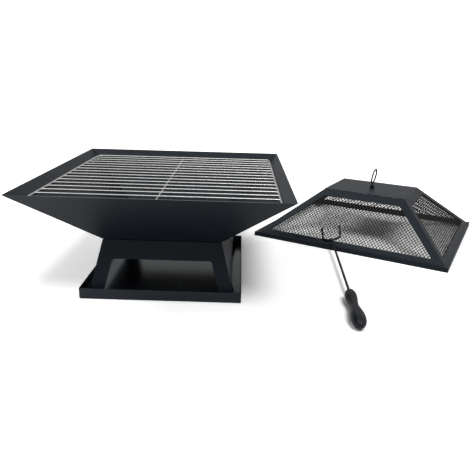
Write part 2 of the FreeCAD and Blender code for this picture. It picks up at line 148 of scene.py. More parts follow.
def pick(piece: Object, element: Element, test: Test) -> None:
    """Select the elements of the mesh in edit mode that a test accepts, and nothing else.

    Args:
        piece: The object in edit mode.
        element: Which kind of element is picked.
        test: Takes an element's middle and its direction, which is a normal or an edge's own.
    """
    bpy.ops.mesh.select_mode(type=element.value)
    bpy.ops.mesh.select_all(action="DESELECT")
    mesh = bmesh.from_edit_mesh(piece.data)
    if element is Element.VERT:
        for vert in mesh.verts:
            vert.select_set(test(vert.co, vert.normal))
    elif element is Element.EDGE:
        for edge in mesh.edges:
            start, end = (vert.co for vert in edge.verts)
            edge.select_set(test((start + end) / 2, (end - start).normalized()))
    else:
        for face in mesh.faces:
            face.select_set(test(face.calc_center_median(), face.normal))
    mesh.select_flush_mode()
    bmesh.update_edit_mesh(piece.data)


def pick_all(piece: Object) -> None:
    """Select the whole mesh in edit mode."""
    pick(piece, Element.FACE, lambda place, way: True)


def at_level(level: float) -> Test:
    """A test for what lies at a height."""
    return lambda place, way: abs(place.z - level) < NEAR


def looks_up(place: Vector, way: Vector) -> bool:
    """A test for faces that look up."""
    return way.z > MOSTLY


def cut(piece: Object, place: Sequence[float], way: Sequence[float], trim: bool = False,
        close: bool = False) -> None:
    """Bisect a mesh in edit mode, and trim away what lies on the plane's side and close the cut if asked."""
    pick_all(piece)
    bpy.ops.mesh.bisect(plane_co=place, plane_no=way, clear_outer=trim, use_fill=close)


def scale_about(centre: Sequence[float], factors: Sequence[float]) -> None:
    """Resize what is selected in edit mode about a point."""
    bpy.ops.transform.resize(value=factors, center_override=centre)


def bevel(width: float, segments: int = 3) -> None:
    """Round the edges that are selected in edit mode."""
    bpy.ops.mesh.bevel(offset=width, segments=segments, affect="EDGES")


def extrude(way: Point) -> None:
    """Extrude what is selected in edit mode."""
    bpy.ops.mesh.extrude_region_move(TRANSFORM_OT_translate={"value": way})


def modify(piece: Object, kind: str, **settings: object) -> None:
    """Add a modifier to a piece, set it and apply it."""
    activate(piece)
    bpy.ops.object.modifier_add(type=kind)
    modifier = piece.modifiers[-1]
    for name, value in settings.items():
        setattr(modifier, name, value)
    bpy.ops.object.modifier_apply(modifier=modifier.name)


def thicken(piece: Object, sheet: float) -> None:
    """Give a shell its sheet thickness, on the side that its faces turn their backs to."""
    modify(piece, "SOLIDIFY", thickness=sheet, offset=-1.0, use_even_offset=True, use_rim=True)


def smooth(piece: Object, degrees: float) -> None:
    """Shade faces that meet at less than an angle as one."""
    activate(piece)
    bpy.ops.object.shade_smooth_by_angle(angle=math.radians(degrees))


def soften(piece: Object, radius: float, segments: int = 2) -> None:
    """Round the sharp edges of a piece and shade its curves smooth."""
    modify(piece, "BEVEL", width=radius, segments=segments, limit_method="ANGLE",
           angle_limit=math.radians(EDGE_ANGLE), use_clamp_overlap=True)
    smooth(piece, SMOOTH_ANGLE)
    modify(piece, "WEIGHTED_NORMAL", keep_sharp=True)


def carve(piece: Object, tool: Object, operation: str = "DIFFERENCE") -> None:
    """Cut a piece with another one, which is used up."""
    modify(piece, "BOOLEAN", operation=operation, object=tool, solver="EXACT")
    bpy.data.objects.remove(tool)


def bar(name: str, radius: float, length: float, middle: Sequence[float], sides: int = 32) -> Object:
    """Upright bar, round or with a few sides, about a point."""
    bpy.ops.mesh.primitive_cylinder_add(vertices=sides, radius=radius, depth=length, location=middle)
    return added(name)


def pierce(piece: Object, places: Iterable[Sequence[float]], radius: float,
           length: float = DRILL_LENGTH) -> None:
    """Drill upright round holes through a sheet or a nut, each about a point."""
    drills = [bar("drill", radius, length, place, sides=28) for place in places]
    carve(piece, joined(drills, "drill"))


def joined(pieces: Sequence[Object], name: str) -> Object:
    """Join several objects into the first of them.

    Args:
        pieces: The objects.
        name: The joined object's name.

    Returns:
        The joined object.
    """
    activate(pieces[0])
    for piece in pieces:
        piece.select_set(True)
    if len(pieces) > 1:
        bpy.ops.object.join()
    return named(pieces[0], name)


def copied(piece: Object, name: str, place: Matrix) -> Object:
    """Copy a piece, with its own mesh, and settle the copy at a place.

    Args:
        piece: The object to copy.
        name: The copy's name.
        place: Where it goes, relative to the original.

    Returns:
        The copy, at the origin and unturned.
    """
    activate(piece)
    bpy.ops.object.duplicate()
    return moved(named(bpy.context.object, name), place)


def moved(piece: Object, place: Matrix) -> Object:
    """Put a piece at a place and settle it into its mesh."""
    piece.matrix_world = place
    return settled(piece)


def about_z(degrees: float) -> Matrix:
    """A turn about the vertical axis through the origin."""
    return Matrix.Rotation(math.radians(degrees), 4, "Z")


def axes_at(origin: Sequence[float], *axes: Vector) -> Matrix:
    """A place at a point, with its X, Y and Z along three directions."""
    return Matrix.Translation(origin) @ Matrix(axes).transposed().to_4x4()


def pointing(origin: Sequence[float], way: Vector) -> Matrix:
    """A place at a point, with its Z along a direction."""
    return Matrix.Translation(origin) @ way.to_track_quat("Z", "Y").to_matrix().to_4x4()


def raised(base: Point, height: float) -> Point:
    """The point at a height above another one."""
    return base[0], base[1], base[2] + height


def each_side(extra: Extra) -> list[tuple[str, float, Extra]]:
    """Each side's name, its turn from the front in degrees, and the extras as seen from that side."""
    swapped = (extra[1], extra[0])
    return [("front", 0.0, extra), ("right", 90.0, swapped), ("back", 180.0, extra), ("left", 270.0, swapped)]


def ring_at(half: float, level: float, extra: Extra) -> list[Point]:
    """Corners of a level rectangle at a height, anticlockwise from above."""
    x, y = half + extra[0], half + extra[1]
    return [(-x, -y, level), (x, -y, level), (x, y, level), (-x, y, level)]


def trim_mitres(panel: Object, extra: Extra) -> None:
    """Trim the front panel, in edit mode, along the mitres from its two corners."""
    for side in (-1, 1):
        cut(panel, (0, extra[0] - extra[1], 0), (side, 1, 0), trim=True, close=True)


def open_box(name: str, half: float, bottom: float, top: float) -> Object:
    """A box on the pit's plan, without its top face."""
    x, y, _ = ring_at(half, top, PIT_EXTRA)[2]
    bpy.ops.mesh.primitive_cube_add(size=1, location=(0, 0, (bottom + top) / 2),
                                    scale=(2 * x, 2 * y, top - bottom))
    box = added(name)
    with editing(box):
        pick(box, Element.FACE, looks_up)
        bpy.ops.mesh.delete(type="FACE")
    return box


def sheet_on(name: str, corners: Sequence[Sequence[float]]) -> Object:
    """A plane pulled by its corners to a flat panel.

    Args:
        name: The panel's name.
        corners: Its four corners, anticlockwise as seen from outside, from the lower left one.

    Returns:
        The panel, with one face.
    """
    bpy.ops.mesh.primitive_plane_add(size=2.0)
    panel = added(name)
    with editing(panel):
        for start, end in zip(((-1, -1, 0), (1, -1, 0), (1, 1, 0), (-1, 1, 0)), corners):
            pick(panel, Element.VERT, lambda place, way: (place - Vector(start)).length < NEAR)
            bpy.ops.transform.translate(value=Vector(end) - Vector(start))
    return panel


def front_sheet(name: str, foot: Sequence[Point], head: Sequence[Point]) -> Object:
    """A flat panel between the front edges of two level rectangles."""
    return sheet_on(name, (foot[0], foot[1], head[1], head[0]))


def wire_along(name: str, points: Sequence[Sequence[float]], bend: float, radius: float,
               closed: bool) -> Object:
    """Round wire bent in one plane along a run of points.

    Args:
        name: The wire's name.
        points: The corners of its centre line, and its ends where it is open. There are four.
        bend: The radius of the centre line at its corners, all of which are square.
        radius: The wire's radius.
        closed: Whether the last point joins the first.

    Returns:
        The wire as a mesh.
    """
    wire = sheet_on(name, points)
    with editing(wire):
        pick_all(wire)
        bpy.ops.mesh.delete(type="ONLY_FACE")
        if not closed:
            gap = (Vector(points[0]) + Vector(points[3])) / 2
            pick(wire, Element.EDGE, lambda place, way: (place - gap).length < NEAR)
            bpy.ops.mesh.delete(type="EDGE")
        ends = [] if closed else [Vector(points[0]), Vector(points[3])]
        pick(wire, Element.VERT, lambda place, way: all((place - end).length > NEAR for end in ends))
        bpy.ops.mesh.bevel(offset=bend, segments=8, affect="VERTICES")
    bpy.ops.object.convert(target="CURVE")
    wire.data.bevel_depth = radius
    wire.data.bevel_resolution = 4
    wire.data.use_fill_caps = True
    bpy.ops.object.convert(target="MESH")
    smooth(wire, WIRE_ANGLE)
    return wire


def dress(piece: Object, finish: Material, body: Body, slot: Slot, *nodes: str) -> None:
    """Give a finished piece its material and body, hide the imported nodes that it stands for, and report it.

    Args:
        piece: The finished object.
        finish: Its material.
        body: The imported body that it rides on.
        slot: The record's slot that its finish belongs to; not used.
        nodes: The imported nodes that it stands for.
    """
    piece.data.materials.clear()
    piece.data.materials.append(finish)
    for polygon in piece.data.polygons:
        polygon.material_index = 0
    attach(piece, body.value)
    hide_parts(*nodes)
    piece.data.calc_loop_triangles()
    LOG.info("%s: %d triangles, stands for %s", piece.name, len(piece.data.loop_triangles), ", ".join(nodes))


# ---- shading helpers ----

def node(tree: NodeTree, kind: str, sockets: dict[str | int, object] | None = None,
         **settings: object) -> Node:
    """Add one shader node.

    Args:
        tree: The node tree that it goes in.
        kind: The node's type.
        sockets: Values for its inputs, or the output sockets that feed them.
        settings: Values for its own properties.

    Returns:
        The node.
    """
    made = tree.nodes.new(kind)
    for name, value in settings.items():
        setattr(made, name, value)
    for name, value in (sockets or {}).items():
        if isinstance(value, NodeSocket):
            tree.links.new(value, made.inputs[name])
        else:
            made.inputs[name].default_value = value
    return made


def cleared(owner: Material | World) -> NodeTree:
    """Switch a material or a world to nodes, and take the ready-made ones out."""
    owner.use_nodes = True
    owner.node_tree.nodes.clear()
    return owner.node_tree


def maths(tree: NodeTree, operation: str, first: object, second: object) -> NodeSocket:
    """Add a Math node and return its output."""
    return node(tree, "ShaderNodeMath", {0: first, 1: second}, operation=operation).outputs[0]


def mixed(tree: NodeTree, share: object, first: object, second: object) -> NodeSocket:
    """Add a colour Mix node and return its output."""
    return node(tree, "ShaderNodeMix", {0: share, 6: first, 7: second}, data_type="RGBA").outputs[2]


def ranged(tree: NodeTree, value: object, low: float, high: float, to_low: object,
           to_high: object) -> NodeSocket:
    """Add a clamped, smooth Map Range node and return its output."""
    sockets = {0: value, 1: low, 2: high, 3: to_low, 4: to_high}
    return node(tree, "ShaderNodeMapRange", sockets, interpolation_type="SMOOTHSTEP").outputs[0]


def new_group(name: str, inputs: dict[str, float], outputs: Sequence[str]) -> NodeTree:
    """Start a shader node group whose sockets are all values.

    Args:
        name: The group's name.
        inputs: The names of its inputs, with their defaults.
        outputs: The names of its outputs.

    Returns:
        The group's tree, with a Group Input and a Group Output node in it.
    """
    tree = bpy.data.node_groups.new(name, "ShaderNodeTree")
    for label, value in inputs.items():
        tree.interface.new_socket(label, in_out="INPUT", socket_type="NodeSocketFloat").default_value = value
    for label in outputs:
        tree.interface.new_socket(label, in_out="OUTPUT", socket_type="NodeSocketFloat")
    tree.nodes.new("NodeGroupInput")
    tree.nodes.new("NodeGroupOutput")
    return tree


def group_in(tree: NodeTree, label: str) -> NodeSocket:
    """The socket inside a group that carries one of its inputs."""
    return next(n for n in tree.nodes if n.type == "GROUP_INPUT").outputs[label]


def group_out(tree: NodeTree, label: str, value: NodeSocket) -> None:
    """Feed one of a group's outputs."""
    tree.links.new(value, next(n for n in tree.nodes if n.type == "GROUP_OUTPUT").inputs[label])


def noise(tree: NodeTree, scale: object, octaves: float) -> NodeSocket:
    """A noise pattern fixed to the piece, from 0 to 1, with a scale per metre and a number of octaves."""
    place = node(tree, "ShaderNodeTexCoord").outputs["Object"]
    return node(tree, "ShaderNodeTexNoise", {"Vector": place, "Scale": scale, "Detail": octaves}).outputs[0]


class Effects:
    """Shader node groups that several finishes share."""

    GRAIN_SHARE = 0.02
    PATCH_SCALE = 26.0
    # Stretches over which noises and masks rise, and where there are four values, what they rise between.
    PATCHES = (0.3, 0.7)
    ROUNDED_MATCH = (0.99, 0.8)
    BREAKS = (0.42, 0.62, 0.25, 1.0)
    LOOKING_UP = (0.5, 1.0)
    SPECKS = (0.45, 0.7, 0.2, 1.0)

    def __init__(self) -> None:
        """Build each group once."""
        self.grain = self.build_grain()
        self.wear_and_highlight = self.build_wear_and_highlight()
        self.dust = self.build_dust()

    def build_grain(self) -> NodeTree:
        """Fine sprayed or moulded grain over slow waves in the sheet."""
        tree = new_group("sprayed_grain", {"Grain Scale": 900.0, "Wave Scale": 9.0, "Wave Share": 0.6},
                         ("Height", "Patches"))
        grain = noise(tree, group_in(tree, "Grain Scale"), octaves=2)
        waves = noise(tree, group_in(tree, "Wave Scale"), octaves=1)
        height = maths(tree, "ADD", maths(tree, "MULTIPLY", waves, group_in(tree, "Wave Share")),
                       maths(tree, "MULTIPLY", grain, self.GRAIN_SHARE))
        group_out(tree, "Height", height)
        group_out(tree, "Patches", noise(tree, self.PATCH_SCALE, octaves=4))
        return tree

    def build_wear_and_highlight(self) -> NodeTree:
        """Lighter edges, partly thin paint and partly a painted highlight, broken up by a noise."""
        tree = new_group("worn_and_highlit_edges", {"Radius": 0.0012, "Break Scale": 180.0}, ("Mask",))
        round_way = node(tree, "ShaderNodeBevel", {"Radius": group_in(tree, "Radius")}, samples=6).outputs[0]
        flat_way = node(tree, "ShaderNodeNewGeometry").outputs["Normal"]
        match = node(tree, "ShaderNodeVectorMath", {0: round_way, 1: flat_way}, operation="DOT_PRODUCT")
        edge = ranged(tree, match.outputs["Value"], *self.ROUNDED_MATCH, 0.0, 1.0)
        breaks = ranged(tree, noise(tree, group_in(tree, "Break Scale"), octaves=3), *self.BREAKS)
        group_out(tree, "Mask", maths(tree, "MULTIPLY", edge, breaks))
        return tree

    def build_dust(self) -> NodeTree:
        """Light dust on faces that look up."""
        tree = new_group("settled_dust", {"Scale": 45.0}, ("Mask",))
        way = node(tree, "ShaderNodeNewGeometry").outputs["Normal"]
        up = node(tree, "ShaderNodeSeparateXYZ", {0: way}).outputs["Z"]
        specks = ranged(tree, noise(tree, group_in(tree, "Scale"), octaves=6), *self.SPECKS)
        level = ranged(tree, up, *self.LOOKING_UP, 0.0, 1.0)
        group_out(tree, "Mask", maths(tree, "MULTIPLY", level, specks))
        return tree


@dataclass(frozen=True)
class Finish:
    """One surface finish: a Principled surface with grain, edges lightened partly by thin paint and partly by
    a painted highlight, and dust.
    """

    name: str
    base: Colour
    patch: Colour
    # Edge colour: lighter where the paint is thin, and also a painted highlight along the edges.
    worn_and_highlit: Colour
    dusty: Colour
    roughness: float
    roughness_spread: float
    grain_scale: float
    wave_scale: float
    bump_depth: float
    # How strongly the edge colour shows, both worn paint and painted highlight.
    wear_and_highlight: float
    dust: float
    edge_radius: float
    metallic: float = 0.0
    specular: float = 0.5
    tint: Colour = (1, 1, 1, 1)

    def build(self, effects: Effects) -> Material:
        """Make the material.

        Args:
            effects: The shared node groups.

        Returns:
            The material.
        """
        material = bpy.data.materials.new(self.name)
        tree = cleared(material)
        scales = {"Grain Scale": self.grain_scale, "Wave Scale": self.wave_scale}
        grain = node(tree, "ShaderNodeGroup", scales, node_tree=effects.grain)
        # Edges get a lighter colour that is partly worn paint and partly a painted highlight.
        wear_and_highlight = node(tree, "ShaderNodeGroup", {"Radius": self.edge_radius}, node_tree=effects.wear_and_highlight)
        dust = node(tree, "ShaderNodeGroup", node_tree=effects.dust)
        patches = ranged(tree, grain.outputs["Patches"], *effects.PATCHES, 0.0, 1.0)
        worn_and_highlit = maths(tree, "MULTIPLY", wear_and_highlight.outputs["Mask"], self.wear_and_highlight)
        dusty = maths(tree, "MULTIPLY", dust.outputs["Mask"], self.dust)
        colour = mixed(tree, patches, self.base, self.patch)
        colour = mixed(tree, worn_and_highlit, colour, self.worn_and_highlit)
        colour = mixed(tree, dusty, colour, self.dusty)
        rough = ranged(tree, grain.outputs["Patches"], *effects.PATCHES,
                       self.roughness - self.roughness_spread, self.roughness + self.roughness_spread)
        bump = node(tree, "ShaderNodeBump", {"Height": grain.outputs["Height"], "Distance": self.bump_depth})
        shader = node(tree, "ShaderNodeBsdfPrincipled", {
            "Base Color": colour, "Roughness": rough, "Metallic": self.metallic,
            "Specular IOR Level": self.specular, "Specular Tint": self.tint, "Normal": bump.outputs[0]})
        node(tree, "ShaderNodeOutputMaterial", {"Surface": shader.outputs[0]})
        return material


# The edge colours and their strengths below are partly worn paint and partly painted edge highlights.
PAINT = Finish("satin_black_paint", base=(0.0064, 0.009, 0.0138, 1), patch=(0.0074, 0.0102, 0.0152, 1),
               worn_and_highlit=(0.03, 0.032, 0.036, 1), dusty=(0.06, 0.057, 0.052, 1), roughness=0.42,
               roughness_spread=0.02, specular=0.24, grain_scale=1300, wave_scale=9, bump_depth=0.0006,
               wear_and_highlight=0.05, dust=0.03, edge_radius=0.0012, tint=(0.82, 0.95, 1.0, 1))
TRAY_PAINT = replace(PAINT, name="glossy_black_paint", roughness=0.2, roughness_spread=0.01, specular=0.44,
                     dust=0.0)
MESH_PAINT = Finish("dark_expanded_mesh", base=(0.010, 0.0085, 0.0065, 1), patch=(0.013, 0.0115, 0.009, 1),
                    worn_and_highlit=(0.05, 0.047, 0.042, 1), dusty=(0.06, 0.057, 0.05, 1), roughness=0.5,
                    roughness_spread=0.05, specular=0.18, grain_scale=1600, wave_scale=60,
                    bump_depth=0.0002, wear_and_highlight=0.1, dust=0.01, edge_radius=0.0004)
CHROME = Finish("chromed_wire", base=(0.66, 0.66, 0.65, 1), patch=(0.56, 0.56, 0.55, 1),
                worn_and_highlit=(0.86, 0.86, 0.85, 1), dusty=(0.55, 0.52, 0.48, 1), roughness=0.38,
                roughness_spread=0.03, metallic=1.0, grain_scale=900, wave_scale=40, bump_depth=0.00001,
                wear_and_highlight=0.0, dust=0.03, edge_radius=0.0005)
ZINC = Finish("zinc_plate", base=(0.55, 0.56, 0.57, 1), patch=(0.44, 0.45, 0.45, 1),
              worn_and_highlit=(0.66, 0.66, 0.65, 1), dusty=(0.4, 0.38, 0.35, 1), roughness=0.34,
              roughness_spread=0.07, metallic=1.0, grain_scale=1500, wave_scale=200, bump_depth=0.0001,
              wear_and_highlight=0.4, dust=0.05, edge_radius=0.0004)
DARK_STEEL = Finish("black_coated_rod", base=(0.006, 0.0062, 0.007, 1), patch=(0.008, 0.0082, 0.009, 1),
                    worn_and_highlit=(0.09, 0.088, 0.085, 1), dusty=(0.08, 0.077, 0.07, 1), roughness=0.4,
                    roughness_spread=0.06, specular=0.22, grain_scale=1800, wave_scale=90,
                    bump_depth=0.0002, wear_and_highlight=0.25, dust=0.02, edge_radius=0.0004)
PLASTIC = Finish("moulded_black_plastic", base=(0.007, 0.0085, 0.012, 1), patch=(0.010, 0.0115, 0.016, 1),
                 worn_and_highlit=(0.05, 0.052, 0.06, 1), dusty=(0.10, 0.10, 0.105, 1), roughness=0.42,
                 roughness_spread=0.05, specular=0.28, grain_scale=700, wave_scale=120, bump_depth=0.0012,
                 wear_and_highlight=0.15, dust=0.04, edge_radius=0.0006)


# ---- fasteners ----

@dataclass
class Fastener:
    """M6 screw thread with its hexagon nut and flat washer, all upright."""

    radius: float = 0.003
    pitch: float = 0.001
    thread_depth: float = 0.0004
    thread_edge: float = 0.00005
    across_flats: float = 0.010
    nut_height: float = 0.005
    nut_edge: float = 0.00012
    washer_radius: float = 0.0065
    washer_sheet: float = 0.0012
    washer_edge: float = 0.0002
    clearance: float = 0.0003

    @property
    def hole(self) -> float:
        """Radius of a hole that the thread passes through."""
        return self.radius + self.clearance

    def build_nut(self, name: str, base: Point) -> Object:
        """Chamfered hexagon nut standing on a base point."""
        corner = self.across_flats / math.sqrt(3)
        middle = raised(base, self.nut_height / 2)
        nut = bar(name, corner, self.nut_height, middle, HEXAGON)
        turning = bar("turning", corner, self.nut_height, middle)
        with editing(turning):
            pick(turning, Element.FACE, lambda place, way: abs(way.z) > MOSTLY)
            bevel(corner - self.across_flats / 2, segments=1)
        carve(nut, turning, "INTERSECT")
        pierce(nut, [middle], self.radius)
        soften(nut, self.nut_edge, segments=1)
        return nut

    def build_washer(self, name: str, base: Point) -> Object:
        """Flat washer standing on a base point."""
        middle = raised(base, self.washer_sheet / 2)
        washer = bar(name, self.washer_radius, self.washer_sheet, middle, sides=40)
        pierce(washer, [middle], self.hole, 2 * self.washer_sheet)
        soften(washer, self.washer_edge)
        return washer

    def build_thread(self, name: str, base: Point, length: float) -> Object:
        """Threaded rod standing on a base point, its thread as a stack of ridges."""
        rod = bar(name, self.radius, length, raised(base, length / 2), sides=20)
        ridges = int(length / self.pitch)
        with editing(rod):
            for step in range(1, 2 * ridges):
                cut(rod, (0, 0, base[2] + step * self.pitch / 2), (0, 0, 1))
            valleys = [base[2] + (step + 0.5) * self.pitch for step in range(ridges)]
            pick(rod, Element.VERT, lambda place, way: any(abs(place.z - level) < NEAR for level in valleys))
            shrink = 1 - self.thread_depth / self.radius
            scale_about(base, (shrink, shrink, 1))
        soften(rod, self.thread_edge, segments=1)
        return rod


# ---- ash tray ----

@dataclass
class AshTray:
    """Tray folded from one sheet, open at the top."""

    half: float = 0.1445
    height: float = 0.020
    sheet: float = 0.001
    fold: float = 0.0016
    edge: float = 0.0002

    def build(self, paint: Material) -> None:
        """Model the tray and dress it."""
        tray = open_box("tray_pan", self.half, 0, self.height)
        with editing(tray):
            pick(tray, Element.EDGE, lambda place, way: place.z < self.height - NEAR)
            bevel(self.fold)
        thicken(tray, self.sheet)
        soften(tray, self.edge)
        dress(tray, paint, Body.TRAY, Slot.PAINT, "ash_tray")


# ---- stand ----

@dataclass
class Stand:
    """Four leaning panels with a window each, butted at the corners under a flange for the bolts."""

    thread: Fastener
    foot_half: float = 0.132
    head_half: float = 0.107
    foot: float = 0.001
    head: float = 0.101
    sheet: float = 0.0012
    flange: float = 0.024
    window_top: float = 0.067
    side_window_top: float = 0.030
    leg: float = 0.026
    window_corner: float = 0.003
    fold: float = 0.001
    edge: float = 0.00025

    @property
    def lean(self) -> float:
        """How far a panel comes in for each metre that it rises."""
        return (self.foot_half - self.head_half) / (self.head - self.foot)

    @property
    def bolt_circle(self) -> float:
        """From the middle of the stand out to each bolt."""
        return self.head_half - self.flange / 2

    def build_panel(self, name: str, window_top: float, extra: Extra) -> Object:
        """The panel at the front, with its flange.

        Args:
            name: The panel's name.
            window_top: The height that its window reaches.
            extra: What the plan's two half widths add to the stand's.

        Returns:
            The panel.
        """
        panel = front_sheet(name, ring_at(self.foot_half, self.foot, extra),
                            ring_at(self.head_half, self.head, extra))
        head_across, front = self.head_half + extra[0], self.head_half + extra[1]
        leg_edge = self.foot_half + extra[0] - self.leg
        with editing(panel):
            for side in (-1, 1):
                cut(panel, (side * leg_edge, 0, self.foot), (side, 0, self.lean))
            cut(panel, (0, 0, window_top), (0, 0, 1))
            pick(panel, Element.FACE,
                 lambda place, way: place.z < window_top and abs(place.x) < self.head_half / 2)
            bpy.ops.mesh.delete(type="FACE")
            pick_all(panel)
            bpy.ops.mesh.dissolve_faces(use_verts=False)
            pick(panel, Element.VERT,
                 lambda place, way: abs(place.z - window_top) < NEAR and abs(place.x) < head_across)
            bpy.ops.mesh.bevel(offset=self.window_corner, segments=5, affect="VERTICES")
            pick(panel, Element.EDGE, at_level(self.head))
            extrude((0, self.flange, 0))
            scale_about((0, self.flange - front, self.head), (1 - self.flange / head_across, 1, 1))
            pick(panel, Element.EDGE, lambda place, way: abs(place.z - self.head) < NEAR
                 and abs(place.y + front) < NEAR and abs(way.x) > MOSTLY)
            bevel(self.fold)
        thicken(panel, self.sheet)
        with editing(panel):
            trim_mitres(panel, extra)
            cut(panel, (0, 0, self.foot), (0, 0, -1), trim=True, close=True)
        pierce(panel, [(0, -self.bolt_circle - extra[1], self.head)], self.thread.hole)
        soften(panel, self.edge)
        return panel

    def build(self, paint: Material) -> None:
        """Model the four panels, turn each to its side and dress it."""
        for side, turn, extra in each_side(PIT_EXTRA):
            window_top = self.window_top if side in ("front", "back") else self.side_window_top
            panel = moved(self.build_panel(f"stand_{side}_sheet", window_top, extra), about_z(turn))
            dress(panel, paint, Body.BOWL, Slot.PAINT, f"stand_panel_{side}")


# ---- bowl ----

@dataclass
class FireBowl:
    """Inverted pyramid on a flat floor, with ash holes, bolted to the flanges of a stand."""

    stand: Stand
    rim_half: float = 0.225
    top: float = 0.206
    sheet: float = 0.0012
    floor_fold: float = 0.0025
    hip_fold: float = 0.0015
    edge: float = 0.0003
    ash_hole: float = 0.005
    ash_pitch: float = 0.045
    head_radius: float = 0.006
    head_height: float = 0.0036
    head_round: float = 0.00162
    head_edge: float = 0.0001
    socket_radius: float = 0.0023
    spare_thread: float = 0.002

    @property
    def bottom(self) -> float:
        """Height of the bowl's underside."""
        return self.stand.head

    def build_shell(self, paint: Material) -> None:
        """Model the bowl and dress it."""
        shares = [(self.stand.head_half + more) / (self.rim_half + more) for more in PIT_EXTRA]
        bowl = open_box("bowl_shell", self.rim_half, self.bottom, self.top)
        with editing(bowl):
            pick(bowl, Element.VERT, at_level(self.bottom))
            scale_about((0, 0, self.bottom), (*shares, 1))
            pick(bowl, Element.EDGE, at_level(self.bottom))
            bevel(self.floor_fold)
            pick(bowl, Element.EDGE, lambda place, way: min(abs(share) for share in way) > SLANTED)
            bevel(self.hip_fold)
        thicken(bowl, self.sheet)
        with editing(bowl):
            cut(bowl, (0, 0, self.top), (0, 0, 1), trim=True, close=True)
        middle = self.bottom + self.sheet / 2
        steps = (-self.ash_pitch, 0, self.ash_pitch)
        pierce(bowl, [(x, y, middle) for x in steps for y in steps], self.ash_hole)
        bolts = [place @ Vector(self.front_bolt(middle)) for place in self.bolt_places()]
        pierce(bowl, bolts, self.stand.thread.hole)
        soften(bowl, self.edge)
        dress(bowl, paint, Body.BOWL, Slot.PAINT, "bowl")

    def front_bolt(self, level: float) -> Point:
        """The point at a height on the axis of the front bolt, on a square bowl."""
        return 0, -self.stand.bolt_circle, level

    def bolt_places(self) -> list[Matrix]:
        """Where each bolt goes, from its place at the front of a square bowl."""
        return [about_z(turn) @ Matrix.Translation((0, -extra[1], 0))
                for _, turn, extra in each_side(PIT_EXTRA)]

    def build_bolt_head(self, base: float) -> Object:
        """Domed head with a hexagon socket."""
        middle = self.front_bolt(base + self.head_height / 2)
        head = bar("head", self.head_radius, self.head_height, middle)
        with editing(head):
            pick(head, Element.FACE, looks_up)
            bevel(self.head_round, segments=5)
        top = self.front_bolt(base + self.head_height)
        carve(head, bar("socket", self.socket_radius, self.head_height, top, HEXAGON))
        soften(head, self.head_edge, segments=1)
        return head

    def build_bolts(self, zinc: Material) -> None:
        """Model one bolt, washer and nut, turn copies of them round and dress them."""
        thread = self.stand.thread
        washer_base = self.bottom - self.stand.sheet - thread.washer_sheet
        nut_base = washer_base - thread.nut_height
        foot = nut_base - self.spare_thread
        head_base = self.bottom + self.sheet
        shank = thread.build_thread("thread", self.front_bolt(foot), head_base - foot)
        bolt = joined([self.build_bolt_head(head_base), shank], "bolt")
        washer = thread.build_washer("washer", self.front_bolt(washer_base))
        nut = thread.build_nut("nut", self.front_bolt(nut_base))
        for master, name in ((bolt, "bowl_bolt"), (washer, "bowl_washer"), (nut, "bowl_nut")):
            pieces = [copied(master, f"{name}_set", place) for place in self.bolt_places()]
            bpy.data.objects.remove(master)
            dress(joined(pieces, f"{name}_set"), zinc, Body.BOWL, Slot.ZINC, f"{name}s")

    def build(self, paint: Material, zinc: Material) -> None:
        """Model and dress the bowl and its fasteners."""
        self.build_shell(paint)
        self.build_bolts(zinc)


# ---- grate ----

@dataclass
class Grate:
    """Wire frame with bars welded between its sides and one bar under them."""

    frame_wire: float = 0.0019
    bar_wire: float = 0.0016
    centre_wire: float = 0.0019
    corner: float = 0.009
    bar_count: int = 15
    weld_sink: float = 0.0004
    weld_reach: float = 0.004
    weld_spread: float = 1.18

    def build_rod(self, name: str, half_length: float, place: Point, radius: float, ends: float) -> Object:
        """Straight wire along X, pressed wider at its welded ends.

        Args:
            name: The wire's name.
            half_length: Half its length.
            place: Its middle.
            radius: Its radius.
            ends: How much wider and flatter the weld leaves its ends.

        Returns:
            The wire.
        """
        bpy.ops.mesh.primitive_cylinder_add(vertices=16, radius=radius, depth=2 * half_length, location=place,
                                            rotation=(0, math.pi / 2, 0))
        rod = added(name)
        with editing(rod):
            for side in (-1, 1):
                cut(rod, (side * (half_length - self.weld_reach), 0, 0), (1, 0, 0))
                cut(rod, (side * (half_length - self.weld_reach / 3), 0, 0), (1, 0, 0))
            inner = half_length - self.weld_reach / 2
            pick(rod, Element.VERT, lambda spot, way: abs(spot.x) > inner)
            scale_about(place, (1, ends, 1 / ends))
        smooth(rod, BAR_ANGLE)
        return rod

    def build(self, chrome: Material) -> None:
        """Model and dress the grate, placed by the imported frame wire."""
        low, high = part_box("grate_frame")
        level = (low.z + high.z) / 2
        half, long_half = high.x - self.frame_wire, high.y - self.frame_wire
        corners = ring_at(half, level, (0, long_half - half))
        wire = wire_along("grate_rim_wire", corners, self.corner, self.frame_wire, closed=True)
        dress(wire, chrome, Body.GRATE, Slot.CHROME, "grate_frame")
        bar_level = level + self.frame_wire - self.bar_wire
        pitch = 2 * long_half / (self.bar_count + 1)
        reach = half - self.frame_wire + self.weld_sink
        rod = self.build_rod("rod", reach, (0, 0, bar_level), self.bar_wire, self.weld_spread)
        rods = [copied(rod, f"rod_{row}", Matrix.Translation((0, (row + 1) * pitch - long_half, 0)))
                for row in range(self.bar_count)]
        bpy.data.objects.remove(rod)
        dress(joined(rods, "grate_rods"), chrome, Body.GRATE, Slot.CHROME, "grate_bars")
        centre_level = bar_level - self.bar_wire - self.centre_wire + self.weld_sink
        reach = long_half - pitch + self.bar_wire
        centre = self.build_rod("grate_cross_wire", reach, (0, 0, centre_level), self.centre_wire, 1.0)
        dress(moved(centre, about_z(90)), chrome, Body.GRATE, Slot.CHROME, "grate_centre_bar")


# ---- lid ----

